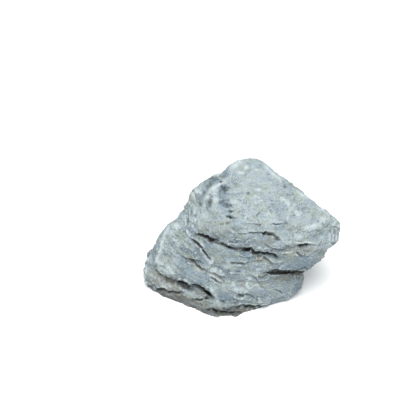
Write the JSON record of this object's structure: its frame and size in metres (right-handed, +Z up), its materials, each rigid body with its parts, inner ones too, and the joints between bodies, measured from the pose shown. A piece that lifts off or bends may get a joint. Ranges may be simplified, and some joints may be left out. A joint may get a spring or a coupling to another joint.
{
  "type": "seiryu stone",
  "caption": "Weathered grey limestone rock with layered beds, an overhanging pale cap, dark crevices and a flat underside to stand on.",
  "frame": {"origin": "on the ground, in the middle of the footprint box", "axes": "+X along the longest side towards the cap's overhanging tip, +Y to the back, +Z up"},
  "size_m": [0.161, 0.108, 0.106],
  "materials": {
    "limestone": "rough, dry, pale blue-grey limestone with fine white grain"
  },
  "bodies": {
    "root": {"stone": "limestone"}
  },
  "joints": []
}
